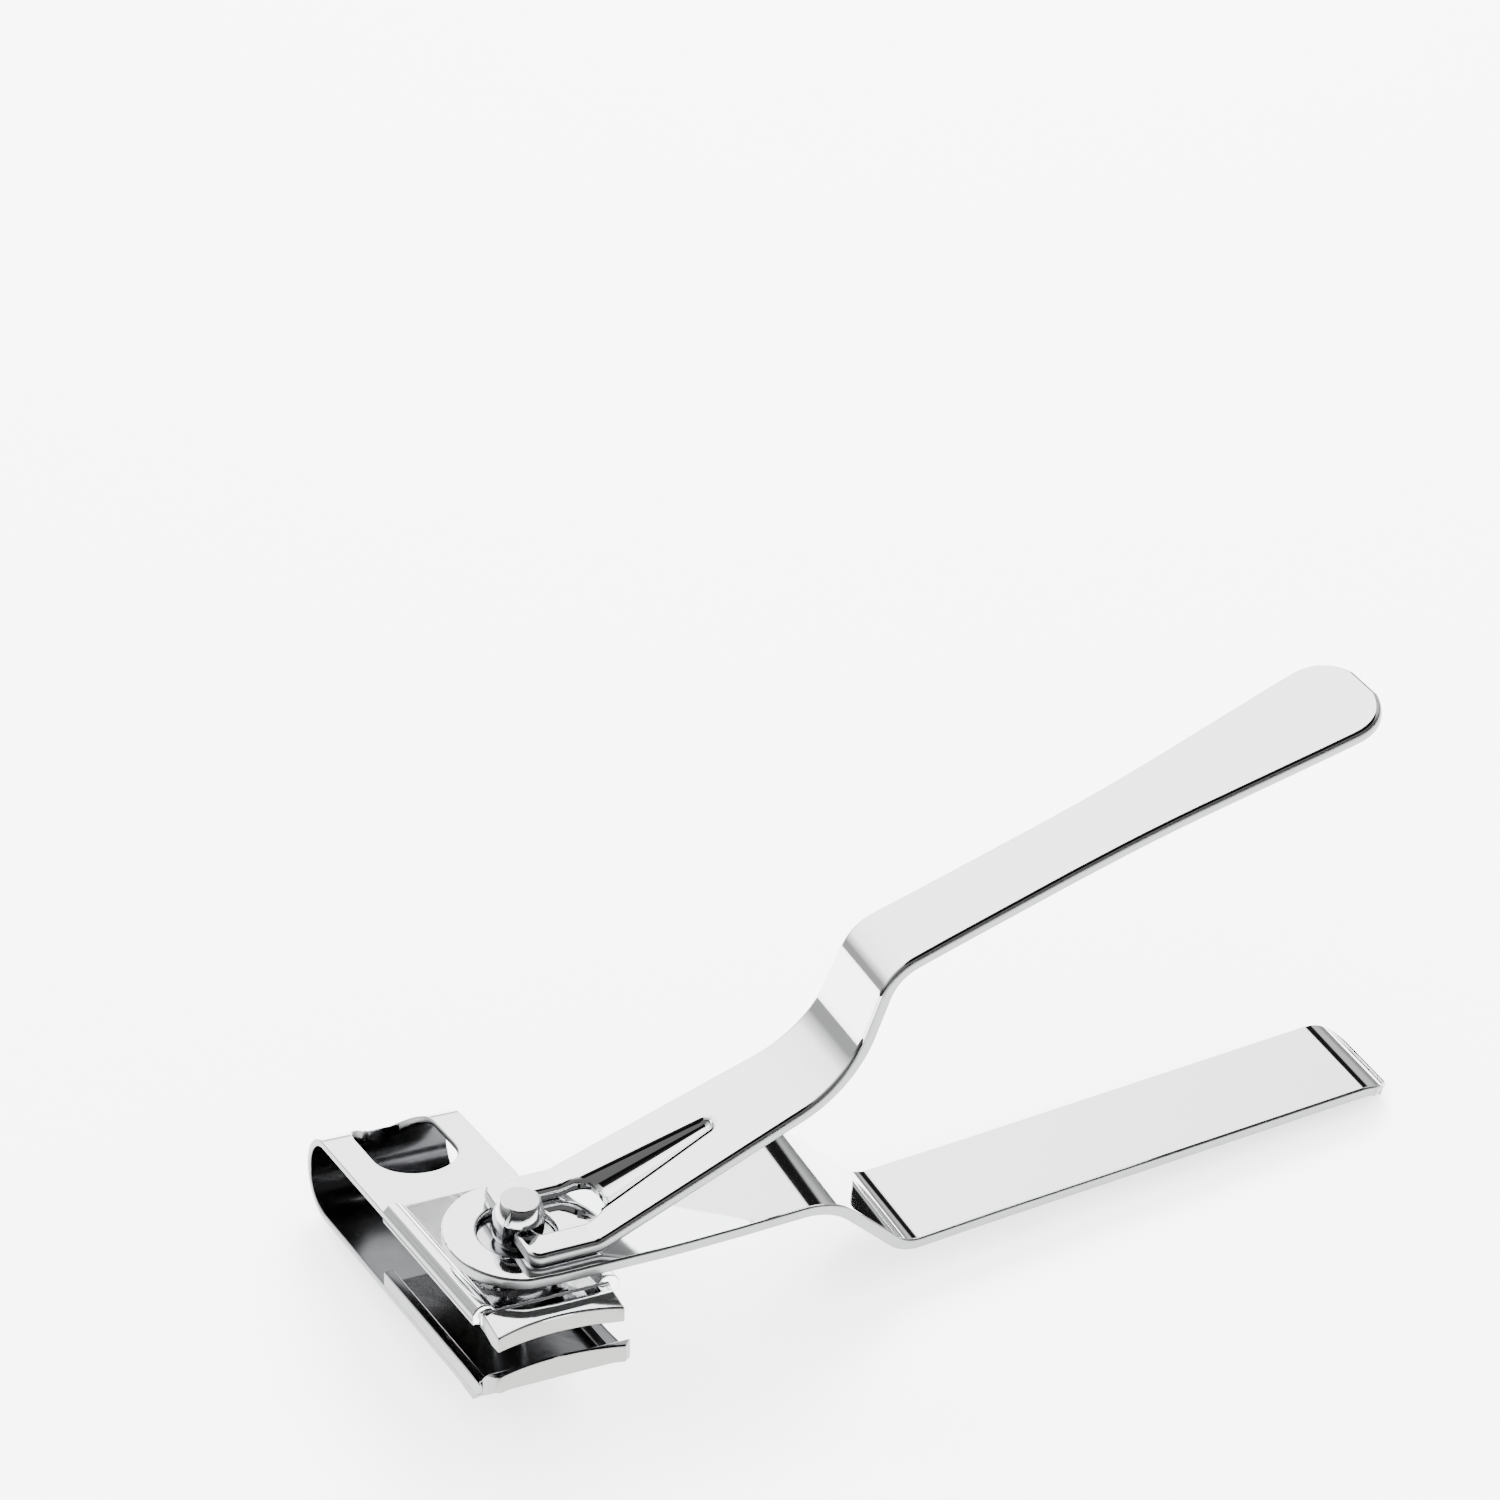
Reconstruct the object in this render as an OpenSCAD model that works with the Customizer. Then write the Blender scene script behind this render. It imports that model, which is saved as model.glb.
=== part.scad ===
// Swivel-head nail clipper: a folded spring-steel head that turns on a post at the
// end of a long handle, closed by a long fork-ended lever.
// Millimetres. +Z is up, +X runs along the handle to its tip, the head's bend lies on +Y.
// The origin is on the swivel axis, at the underside of the post's foot.

/* [Handle] */
// Distance from the swivel axis to the tip of the handle
handle_reach = 105.5; // [90:0.5:125]
// Radius of the round end that carries the head
disc_r = 7.6; // [7:0.1:8.6]
// Radius of the hole in the round end
disc_hole_r = 4.1; // [3.8:0.1:4.6]
// Thickness of the handle's strip
handle_t = 1.4; // [1:0.1:1.8]
// Distance from the swivel axis to the start of the step in the handle
step_x = 33; // [30:0.5:38]
// Depth of the step that drops the grip below the round end
step_drop = 9; // [6:0.5:10]
// Slope of the step, in degrees
step_angle = 42; // [30:1:55]
// Upward slope of the handle's grip, in degrees
grip_angle = 5.8; // [3:0.1:8]
// Half of the width of the handle's grip
grip_half_w = 6.1; // [5:0.1:7.5]
// Reach of the curled lip at the tip of the handle, past the corner of its bend
lip_len = 2.3; // [2.2:0.1:3]
// Downward turn of the lip, in degrees
lip_turn = 56; // [40:1:56]

/* [Lever] */
// Distance from the swivel axis to the tip of the lever
lever_reach = 92.4; // [75:0.2:115]
// Thickness of the lever's strip
lever_t = 1.6; // [1.2:0.1:1.8]
// Half of the width across the two prongs
fork_half_w = 6.3; // [5.6:0.1:7]
// Half of the gap between the prongs
slot_half_w = 2.85; // [2.8:0.05:3.4]
// Distance from the swivel axis to the heel that the lever rocks on
heel_x = 6; // [5:0.25:8]
// Slope of the lever where it leaves the heel, in degrees
rise_angle = 24.2; // [20:0.5:30]
// Distance from the swivel axis to the foot of the steep rise
rise_x = 33; // [28:0.5:36]
// Slope of the steep rise, in degrees
steep_angle = 74.5; // [60:0.5:80]
// Distance from the swivel axis to the top of the steep rise
crest_x = 36.5; // [35:0.5:40]
// Slope of the lever's grip, in degrees
press_angle = 21; // [15:0.5:26]
// Half of the lever's width at its narrowest
waist_half_w = 4.5; // [4:0.1:6]
// Half of the lever's width at its spoon-shaped end
spoon_half_w = 6.3; // [5:0.1:7.5]

/* [Head] */
// Half of the width of the head
head_half_w = 8; // [7.2:0.1:9]
// Length from the swivel axis to the outside of the bend
bend_reach = 34.8; // [28:0.2:40]
// Length from the swivel axis to the middle of the cutting edges
jaw_reach = 11.2; // [10:0.2:13]
// Height of the folded head, outside to outside
head_h = 9.5; // [9:0.1:11]
// Thickness of the head's sheet
sheet_t = 0.8; // [0.6:0.1:1]
// Angle at which the loose head hangs from the handle, in degrees
head_hang = 11; // [4:0.5:11]
// Half of the length of the cutting edges
blade_half_w = 6.9; // [6:0.1:7.2]
// Radius of the curve of the cutting edges
blade_curve_r = 22.8; // [16:0.2:40]
// Gap between the open cutting edges
jaw_gap = 2.5; // [2:0.1:3]
// Height of the upper cutting edge above the middle of the head
edge_h = 2.05; // [1.6:0.05:2.4]
// Half of the width of the opening in the bend
window_half_w = 4.6; // [3:0.1:5.5]

/* [Post] */
// Radius of the post's shank
post_r = 1.8; // [1.6:0.1:2.2]
// Height of the button's top above the round end of the handle
button_h = 4.05; // [3.8:0.05:5]
// Largest radius of the button
button_r = 2.65; // [2.4:0.05:2.75]
// Radius of the flat on top of the button
button_top_r = 2; // [1.6:0.05:2.2]
// Radius of the foot that is riveted on under the head
foot_r = 3.2; // [2.8:0.1:4]
// Thickness of the foot
foot_t = 1; // [0.8:0.1:1.6]
// Radial clearance between the post and the swivel bush
post_fit = 0.06; // [0.03:0.01:0.1]
// Radial clearance between the swivel bush and the handle's hole
bush_fit = 0.08; // [0.03:0.01:0.1]

/* [Hidden] */

seat_gap = 0.1;          // gap left between faces that rest or slide on each other
hang_gap = 0.3;          // gap between the head's highest points and the handle
plate_hole_r = post_r + 0.5;
$fn = 96;

// The head is drawn level about its own middle line, then hung at its angle.
half_h = head_h / 2;
bend_r = half_h;                                  // outside radius of the bend
bend_y = bend_reach - bend_r;
crease_y = -(jaw_reach - 2.6);                    // where the upper plate turns into its blade
bead_r = 1.2;                                     // radius of the pressed side beads
bead_crest = half_h + 0.8;                        // top of the beads
bead_start = 14;                                  // end of the beads nearest to the bend
bead_end = crease_y - 0.4;
// Height of the round end's top, found by stacking the pieces up from the foot
lower_plate_z = foot_t + seat_gap + foot_r * tan(head_hang);
mid_z = lower_plate_z + half_h / cos(head_hang);
head_top_z = mid_z - bead_end * sin(head_hang) + bead_crest * cos(head_hang);
deck_z = head_top_z + hang_gap + handle_t;
plate_rim_z = mid_z + half_h / cos(head_hang) + 5.2 * tan(head_hang);

// Corner rounding for outlines: p is a list of points, r the radius at each of them
function turn_of(a, b, c) = (b[0] - a[0]) * (c[1] - b[1]) - (b[1] - a[1]) * (c[0] - b[0]);
function rounded_corner(a, b, c, r) =
    let (u = (a - b) / norm(a - b),
         v = (c - b) / norm(c - b),
         half = acos(max(-1, min(1, u * v))) / 2,
         len = r / tan(half),
         mid = (u + v) / norm(u + v),
         centre = b + mid * r / sin(half),
         sweep = 180 - 2 * half,
         side = turn_of(a, b, c) > 0 ? 1 : -1,
         steps = max(2, ceil(sweep / 7)),
         from = b + u * len - centre,
         start = atan2(from[1], from[0]))
    [for (i = [0 : steps]) centre + r * [cos(start + side * sweep * i / steps),
                                         sin(start + side * sweep * i / steps)]];
function corner_or_point(a, b, c, r) =
    r < 0.01 || abs(turn_of(a, b, c)) < 1e-6 ? [b] : rounded_corner(a, b, c, r);
function rounded_line(p, r) = [for (i = [0 : len(p) - 1])
    each (i == 0 || i == len(p) - 1 ? [p[i]] : corner_or_point(p[i - 1], p[i], p[i + 1], r[i]))];
function rounded_loop(p, r) = let (n = len(p)) [for (i = [0 : n - 1])
    each corner_or_point(p[(i + n - 1) % n], p[i], p[(i + 1) % n], r[i])];
// The line that runs a distance d to the right of p, with mitred corners
function right_of(a, b) = let (d = (b - a) / norm(b - a)) [d[1], -d[0]];
function beside(p, d) = [for (i = [0 : len(p) - 1])
    i == 0 ? p[0] + d * right_of(p[0], p[1]) :
    i == len(p) - 1 ? p[i] + d * right_of(p[i - 1], p[i]) :
    let (n1 = right_of(p[i - 1], p[i]), n2 = right_of(p[i], p[i + 1]), m = (n1 + n2) / norm(n1 + n2))
    p[i] + m * d / (m * n1)];
// Outline of a bent strip, from the line of its top face and the inside radius of each bend
function strip_outline(top, inside_r, t) =
    let (n = len(top),
         left = [for (i = [0 : n - 1]) i > 0 && i < n - 1 && turn_of(top[i - 1], top[i], top[i + 1]) < 0 ? 1 : 0],
         top_r = [for (i = [0 : n - 1]) inside_r[i] + left[i] * t],
         low_r = [for (i = [0 : n - 1]) inside_r[i] + (1 - left[i]) * t],
         low = rounded_line(beside(top, t), low_r),
         m = len(low))
    concat(rounded_line(top, top_r), [for (i = [m - 1 : -1 : 0]) low[i]]);

// A strip bent in the XZ plane, wide along Y
module bent_strip(outline, half_w) {
    rotate([90, 0, 0]) linear_extrude(height = 2 * half_w, center = true) polygon(outline);
}

// Handle: top line of its side view
step_end_x = step_x + step_drop / tan(step_angle);
lip_x = handle_reach - lip_len;
handle_top = [
    [-disc_r - 1, 0],
    [step_x, 0],
    [step_end_x, -step_drop],
    [lip_x, -step_drop + (lip_x - step_end_x) * tan(grip_angle)],
    [handle_reach, -step_drop + (lip_x - step_end_x) * tan(grip_angle)
        + lip_len * tan(grip_angle - lip_turn)]
];
handle_bends = [0, 8.6, 4, 4.8, 0];  // inside radius at each corner

module handle_plan() {
    circle(r = disc_r);
    polygon(rounded_loop(
        [[0, -disc_r], [step_end_x, -grip_half_w], [handle_reach, -grip_half_w],
         [handle_reach, grip_half_w], [step_end_x, grip_half_w], [0, disc_r]],
        [0, 12, 4, 4, 12, 0]));
}

module handle() color([0.86, 0.87, 0.88]) {
    translate([0, 0, deck_z]) difference() {
        intersection() {
            bent_strip(strip_outline(handle_top, handle_bends, handle_t), disc_r + 1);
            translate([0, 0, -20]) linear_extrude(height = 30) handle_plan();
        }
        translate([0, 0, -handle_t - 1]) cylinder(r = disc_hole_r, h = handle_t + 2);
    }
}

// Lever: top line of its side view, from the tips of the prongs to the spoon-shaped end
tip_x = -1.4;
heel_z = seat_gap + lever_t;
rise_z = heel_z + (rise_x - heel_x) * tan(rise_angle);
crest_z = rise_z + (crest_x - rise_x) * tan(steep_angle);
lever_top = [
    [tip_x, heel_z],
    [heel_x, heel_z],
    [rise_x, rise_z],
    [crest_x, crest_z],
    [lever_reach + 1, crest_z + (lever_reach + 1 - crest_x) * tan(press_angle)]
];
lever_bends = [0, 1.2, 9, 4.4, 0];   // inside radius at each corner
slot_end_x = 9.2;
lip_half_len = 0.8;       // half of the length of the lips that hook into the post
lip_half_gap = 1.55;      // half of the gap between the lips

module lever_plan() {
    polygon(rounded_loop(
        [[tip_x, -fork_half_w], [heel_x + 2, -fork_half_w], [crest_x, -waist_half_w - 0.35],
         [crest_x + 6, -waist_half_w], [crest_x + 28, -waist_half_w],
         [lever_reach - 6, -spoon_half_w], [lever_reach, -spoon_half_w],
         [lever_reach, spoon_half_w], [lever_reach - 6, spoon_half_w],
         [crest_x + 28, waist_half_w], [crest_x + 6, waist_half_w],
         [crest_x, waist_half_w + 0.35], [heel_x + 2, fork_half_w], [tip_x, fork_half_w]],
        [1, 20, 8, 8, 30, 8, 4.6, 4.6, 8, 30, 8, 8, 20, 1]));
}

// The gap between the prongs, with its round end towards the grip
module lever_slot() {
    translate([slot_end_x - slot_half_w, 0]) circle(r = slot_half_w);
    translate([lip_half_len, -slot_half_w]) square([slot_end_x - slot_half_w - lip_half_len, 2 * slot_half_w]);
    translate([tip_x - 1, -lip_half_gap]) square([lip_half_len + 1 - tip_x, 2 * lip_half_gap]);
}

groove_len = 12;          // length of the groove from the end of the slot
groove_half_w = 2.6;      // half of its width and its depth where it meets the slot
groove_depth = 1.15;
groove_tip_half_w = 0.85; // half of its width and its depth at its tip
groove_tip_depth = 0.45;
// Radius of the round punch that leaves a groove of a given half width and depth
function punch_r(half_w, depth) = (half_w * half_w + depth * depth) / (2 * depth);

// A tapering round-ended punch laid along the strip
module lever_groove() {
    slot_z = heel_z + (slot_end_x - heel_x) * tan(rise_angle);
    root_r = punch_r(groove_half_w, groove_depth);
    tip_r = punch_r(groove_tip_half_w, groove_tip_depth);
    root_z = root_r - groove_depth;
    tip_z = tip_r - groove_tip_depth;
    dip = atan((root_z - tip_z) / groove_len);
    run = groove_len / cos(dip);
    taper = (root_r - tip_r) / run;
    translate([slot_end_x, 0, slot_z]) rotate([0, -rise_angle, 0])
        translate([0, 0, root_z]) rotate([0, 90 + dip, 0]) {
            translate([0, 0, -3]) cylinder(r1 = root_r + 3 * taper, r2 = tip_r, h = run + 3);
            translate([0, 0, run]) sphere(r = tip_r);
        }
}

module lever() color([0.9, 0.9, 0.91]) {
    translate([0, 0, deck_z]) difference() {
        intersection() {
            bent_strip(strip_outline(lever_top, lever_bends, lever_t), fork_half_w + 1);
            translate([0, 0, -5]) linear_extrude(height = 70) lever_plan();
        }
        translate([0, 0, -5]) linear_extrude(height = 70) lever_slot();
        lever_groove();
    }
}

// Everything in the head is drawn level and then hung by this
module hung() {
    translate([0, 0, mid_z]) rotate([-head_hang, 0, 0]) children();
}

// A profile in the YZ plane, made into a plate that is wide along X
module plate(points, half_w) {
    rotate([90, 0, 90]) linear_extrude(height = 2 * half_w, center = true) polygon(points);
}

module post_hole() {
    cylinder(r = plate_hole_r, h = deck_z);
}

// The curve that both cutting edges are ground to, swept over the head's height
module grinding_curve(reach) {
    translate([0, -reach - blade_curve_r, -head_h]) cylinder(r = blade_curve_r, h = 2 * head_h);
}

// One quarter of the bend: up is 1 for the upper quarter and -1 for the lower one
module bend_quarter(up) {
    intersection() {
        translate([0, bend_y, 0]) rotate([0, 90, 0]) difference() {
            cylinder(r = bend_r, h = 2 * head_half_w, center = true);
            cylinder(r = bend_r - sheet_t, h = 2 * head_half_w + 2, center = true);
        }
        translate([-head_half_w, bend_y, up > 0 ? 0 : -head_h])
            cube([2 * head_half_w, bend_r + 1, head_h]);
    }
}

// A pressed bead along each side of a plate
module side_beads(low, high) {
    for (side = [-1, 1])
        translate([side * (head_half_w - bead_r), bead_end, 0]) {
            rotate([-90, 0, 0]) translate([0, -high, 0]) cylinder(r = bead_r, h = bead_start - bead_end);
            translate([side > 0 ? 0 : -bead_r, 0, low]) cube([bead_r, bead_start - bead_end, high - low]);
        }
}

window_y = bend_reach - 10.5;                       // middle of the window's front end
window_end_y = bend_y + 3.7 - window_half_w;        // middle of its end on the bend

module upper_jaw() color([0.88, 0.89, 0.9]) {
    inner = half_h - sheet_t;
    difference() {
        hung() difference() {
            union() {
                bend_quarter(1);
                plate([[bend_y, inner], [bend_y, half_h], [crease_y + 1, half_h],
                       [crease_y, half_h - 0.15], [crease_y + 1, inner - 0.3]], head_half_w);
                plate([[crease_y + 1, half_h], [crease_y, half_h - 0.15],
                       [-jaw_reach - 2, half_h - 1.3], [-jaw_reach - 2, edge_h],
                       [-jaw_reach + 0.6, edge_h], [crease_y + 1, inner - 0.3]], blade_half_w);
                side_beads(half_h - 1.3, bead_crest - bead_r);
            }
            grinding_curve(jaw_reach);
            for (y = [window_y, window_end_y])
                translate([0, y, 0]) cylinder(r = window_half_w, h = head_h);
            translate([-window_half_w, window_y, 0])
                cube([2 * window_half_w, window_end_y - window_y, head_h]);
        }
        post_hole();
    }
}

module lower_jaw() color([0.84, 0.85, 0.86]) {
    inner = half_h - sheet_t;
    edge_low = edge_h - jaw_gap;
    reach = jaw_reach + 0.3;
    difference() {
        hung() difference() {
            union() {
                bend_quarter(-1);
                plate([[bend_y, -inner], [bend_y, -half_h], [crease_y, -half_h],
                       [-reach - 0.6, -half_h + 2.3], [-reach - 2, -half_h + 2.3],
                       [-reach - 2, edge_low], [-reach, edge_low], [-reach + 1, edge_low - 1.2],
                       [crease_y + 1.2, -inner]], blade_half_w);
                plate([[bend_y, -inner], [bend_y, -half_h], [crease_y, -half_h], [crease_y, -inner]],
                      head_half_w);
                for (side = [-1, 1])
                    translate([side > 0 ? head_half_w - bead_r : -head_half_w, bead_end, -half_h])
                        cube([bead_r, bead_start - bead_end, 2.6]);
            }
            grinding_curve(reach);
        }
        post_hole();
    }
}

// The post's button carries a notch on each side for the lips of the fork
notch_low = -0.25;
notch_high = lever_t + seat_gap + 0.45;
neck_half_w = lip_half_gap - 0.2;

module post() color([0.82, 0.83, 0.85]) {
    translate([0, 0, foot_t]) cylinder(r = post_r, h = deck_z - foot_t - 0.5);
    translate([0, 0, deck_z]) difference() {
        rotate_extrude() polygon([[0, -0.6], [post_r + 0.2, -0.6], [button_r - 0.1, -0.2], [button_r, 0.4],
                                  [button_r, notch_high], [button_top_r, button_h], [0, button_h]]);
        for (side = [-1, 1])
            translate([-5, side > 0 ? neck_half_w : -5 - neck_half_w, notch_low])
                cube([10, 5, notch_high - notch_low]);
    }
}

module post_foot() color([0.78, 0.79, 0.8]) {
    rotate_extrude() polygon([[0, 0], [foot_r - 0.25, 0], [foot_r, 0.25], [foot_r, foot_t], [0, foot_t]]);
}

flange_r = 5.2;
module swivel_bush() color([0.6, 0.6, 0.62]) {
    flange_low = plate_rim_z + seat_gap;
    flange_high = deck_z - handle_t - 0.03;
    difference() {
        union() {
            translate([0, 0, flange_low]) cylinder(r = flange_r, h = flange_high - flange_low);
            translate([0, 0, flange_low]) cylinder(r = disc_hole_r - bush_fit, h = deck_z - 1 - flange_low);
        }
        cylinder(r = post_r + post_fit, h = deck_z + 1);
    }
}

handle();
lever();
upper_jaw();
lower_jaw();
post();
post_foot();
swivel_bush();
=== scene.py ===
"""Swivel-head nail clipper: polished pressed-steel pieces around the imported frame."""

import math

import bmesh
import bpy
from mathutils import Matrix, Vector


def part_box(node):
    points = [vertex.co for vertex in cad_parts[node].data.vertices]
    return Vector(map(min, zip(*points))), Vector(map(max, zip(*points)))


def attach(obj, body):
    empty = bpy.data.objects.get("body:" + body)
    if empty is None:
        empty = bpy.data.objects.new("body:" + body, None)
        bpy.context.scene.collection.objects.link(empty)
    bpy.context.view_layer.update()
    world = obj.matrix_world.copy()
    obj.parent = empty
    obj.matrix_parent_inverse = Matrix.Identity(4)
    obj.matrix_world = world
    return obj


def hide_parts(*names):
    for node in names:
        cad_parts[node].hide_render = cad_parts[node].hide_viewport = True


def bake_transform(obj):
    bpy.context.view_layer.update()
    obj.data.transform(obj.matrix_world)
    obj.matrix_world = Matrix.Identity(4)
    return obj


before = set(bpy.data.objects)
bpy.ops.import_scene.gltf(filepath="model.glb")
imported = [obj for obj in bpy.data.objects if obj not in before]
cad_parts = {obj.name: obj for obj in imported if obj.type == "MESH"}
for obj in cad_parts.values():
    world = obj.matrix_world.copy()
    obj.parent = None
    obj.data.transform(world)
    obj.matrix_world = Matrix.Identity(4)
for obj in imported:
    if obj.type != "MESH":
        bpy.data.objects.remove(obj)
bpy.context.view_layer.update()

bl_info = {
    "name": "Swivel-head nail clipper",
    "version": (1, 0, 0),
    "blender": (4, 5, 0),
    "location": "View3D > Sidebar > Nail Clipper",
    "description": "Builds the pressed, turned and ground pieces of a swivel-head nail clipper",
    "category": "Object",
}

MM = 0.001
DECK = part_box("handle")[1][2]  # top face of the handle's round end
SMOOTH = math.radians(32)  # faces that meet at less than this are shaded as one curve


# ---------------------------------------------------------------- sizes a user would change


def length(name, description, value_mm):
    return bpy.props.FloatProperty(
        name=name, description=description, default=value_mm * MM, unit="LENGTH", subtype="DISTANCE",
        precision=5,
    )


def angle(name, description, degrees):
    return bpy.props.FloatProperty(
        name=name, description=description, default=math.radians(degrees), unit="ROTATION", subtype="ANGLE"
    )


def colour(name, description, hex_code):
    return bpy.props.FloatVectorProperty(
        name=name, description=description, default=linear(hex_code), size=4, min=0, max=1, subtype="COLOR"
    )


def linear(hex_code):
    """An sRGB hex colour as linear red, green, blue and full alpha."""
    channels = [int(hex_code[i : i + 2], 16) / 255 for i in (1, 3, 5)]
    return [c / 12.92 if c <= 0.04045 else ((c + 0.055) / 1.055) ** 2.4 for c in channels] + [1.0]


class HandleSizes(bpy.types.PropertyGroup):
    """Sizes of the handle and of the lever, which are bent from flat strip."""

    disc_radius: length("Round end", "Radius of the handle's round end", 7.6)
    hole_radius: length("Hole", "Radius of the hole in the round end", 4.1)
    strip: length("Handle strip", "Thickness of the handle's strip", 1.4)
    grip_half: length("Grip", "Half of the width of the handle's grip", 6.1)
    lever_strip: length("Lever strip", "Thickness of the lever's strip", 1.6)
    slot_half: length("Fork gap", "Half of the gap between the lever's prongs", 2.85)
    edge_round: length("Handle rounding", "Rounding of the handle's edges", 0.3)
    lever_round: length("Lever rounding", "Rounding of the lever's edges", 0.6)


class HeadSizes(bpy.types.PropertyGroup):
    """Sizes of the folded head and of its post."""

    half_width: length("Head", "Half of the width of the head", 8.0)
    half_height: length("Half height", "Half of the height of the folded head", 4.75)
    sheet: length("Sheet", "Thickness of the head's sheet", 0.8)
    hang: angle("Hang", "Angle at which the loose head hangs from the handle", 11)
    blade_half: length("Blade", "Half of the length of the cutting edges", 6.9)
    window_half: length("Window", "Half of the width of the opening in the bend", 4.6)
    button_radius: length("Button", "Largest radius of the post's button", 2.65)


class FinishColours(bpy.types.PropertyGroup):
    """Colours of the finishes."""

    chrome: colour("Chrome", "Bright chrome plate", "#E9EAEB")
    edge: colour("Blanked edge", "Plated edge that was left as the press cut it", "#858687")
    # Painted shade: the dark colour of the faces inside the fold stands for the shade in the head's hollow
    inside: colour("Inside", "Painted shade inside the folded head", "#4C4D4F")
    ground: colour("Ground edge", "Cutting face, ground after plating", "#82827F")
    turned: colour("Turned steel", "Post, foot and ring", "#C4C5C7")
    table: colour("Table", "Pale table top", "#F4F4F4")


# ---------------------------------------------------------------- hand tools


def deselect():
    bpy.ops.object.select_all(action="DESELECT")


def take(piece):
    """Makes one piece the only selected and the active one."""
    deselect()
    piece.select_set(True)
    bpy.context.view_layer.objects.active = piece


def named(name):
    """Names the primitive that was just added."""
    piece = bpy.context.object
    piece.name = piece.data.name = name
    return piece


def edit(piece):
    take(piece)
    bpy.context.tool_settings.mesh_select_mode = (True, False, False)
    bpy.ops.object.mode_set(mode="EDIT")


def leave():
    bpy.ops.object.mode_set(mode="OBJECT")


def pick(piece, test):
    """In edit mode, selects the vertices that pass the test and returns how many there are."""
    mesh = bmesh.from_edit_mesh(piece.data)
    mesh.verts.ensure_lookup_table()
    for vertex in mesh.verts:
        vertex.select_set(False)
    chosen = [v for v in mesh.verts if test(v)]
    for vertex in chosen:
        vertex.select_set(True)
    mesh.select_flush_mode()
    bmesh.update_edit_mesh(piece.data)
    return len(chosen)


def apply(piece, kind, **settings):
    """Adds a modifier, sets it and applies it."""
    take(piece)
    bpy.ops.object.modifier_add(type=kind)
    modifier = piece.modifiers[-1]
    for key, value in settings.items():
        setattr(modifier, key, value)
    bpy.ops.object.modifier_apply(modifier=modifier.name)


def combine(piece, tool, operation):
    """Joins the tool to the piece or cuts it away, and throws the tool out."""
    apply(piece, "BOOLEAN", object=tool, operation=operation, solver="EXACT")
    bpy.data.objects.remove(tool)


def tidy(piece, flat_angle=0.6):
    """Merges doubles, clears the cuts that cross flat faces and turns all faces outwards."""
    edit(piece)
    bpy.ops.mesh.select_all(action="SELECT")
    bpy.ops.mesh.remove_doubles(threshold=0.004 * MM)
    bpy.ops.mesh.dissolve_limited(angle_limit=math.radians(flat_angle), delimit={"MATERIAL"})
    bpy.ops.mesh.select_all(action="SELECT")
    bpy.ops.mesh.normals_make_consistent(inside=False)
    leave()


def polish(piece, width, segments=3, sharp=35):
    """Rounds the edges as tumbling and buffing do."""
    apply(
        piece, "BEVEL", width=width, segments=segments, limit_method="ANGLE",
        angle_limit=math.radians(sharp), use_clamp_overlap=False, miter_outer="MITER_ARC",
    )
    take(piece)
    bpy.ops.object.shade_smooth_by_angle(angle=SMOOTH)
    apply(piece, "WEIGHTED_NORMAL", keep_sharp=True, weight=60)


def place(piece, turn, lift):
    """Turns a piece, lifts it into the frame and puts that into its mesh."""
    take(piece)
    piece.rotation_euler = turn
    piece.location = lift
    bpy.ops.object.transform_apply(location=True, rotation=True, scale=True)


def prism(name, corners, half_width):
    """A block with the given outline in the XZ plane, half_width to each side along Y."""
    deselect()
    bpy.ops.mesh.primitive_circle_add(vertices=len(corners), radius=MM, fill_type="NGON")
    piece = named(name)
    edit(piece)
    for i, (x, z) in enumerate(corners):
        pick(piece, lambda v: v.index == i)
        here = bmesh.from_edit_mesh(piece.data).verts[i].co.copy()
        bpy.ops.transform.translate(value=Vector((x, -half_width, z)) - here)
    bpy.ops.mesh.select_all(action="SELECT")
    bpy.ops.mesh.extrude_region_move(TRANSFORM_OT_translate={"value": (0, 2 * half_width, 0)})
    bpy.ops.mesh.select_all(action="SELECT")
    bpy.ops.mesh.normals_make_consistent(inside=False)
    leave()
    return piece


def slab(name, start, stop, low, high, half_width):
    """A square block from start to stop along X and from low to high, half_width to each side."""
    return prism(name, [(start, low), (stop, low), (stop, high), (start, high)], half_width)


def rod(name, radius, low, high, centre=(0, 0), sides=96):
    """An upright cylinder between two heights."""
    deselect()
    bpy.ops.mesh.primitive_cylinder_add(
        vertices=sides, radius=radius, depth=high - low, location=(centre[0], centre[1], (low + high) / 2)
    )
    piece = named(name)
    bpy.ops.object.transform_apply(location=True, rotation=True, scale=True)
    return piece


def turned(name, profile, sides=72):
    """A lathe-turned solid from (radius, height) steps, lowest first."""
    deselect()
    radius, height = profile[0]
    bpy.ops.mesh.primitive_circle_add(
        vertices=sides, radius=radius, fill_type="NGON", location=(0, 0, height)
    )
    piece = named(name)
    bpy.ops.object.transform_apply(location=True, rotation=True, scale=True)
    edit(piece)
    bpy.ops.mesh.select_all(action="SELECT")
    for next_radius, next_height in profile[1:]:
        bpy.ops.mesh.extrude_region_move(TRANSFORM_OT_translate={"value": (0, 0, next_height - height)})
        k = next_radius / radius
        bpy.ops.transform.resize(value=(k, k, 1), center_override=(0, 0, next_height))
        radius, height = next_radius, next_height
    bpy.ops.mesh.select_all(action="SELECT")
    bpy.ops.mesh.normals_make_consistent(inside=False)
    leave()
    return piece


# ---------------------------------------------------------------- pressed strip


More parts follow.
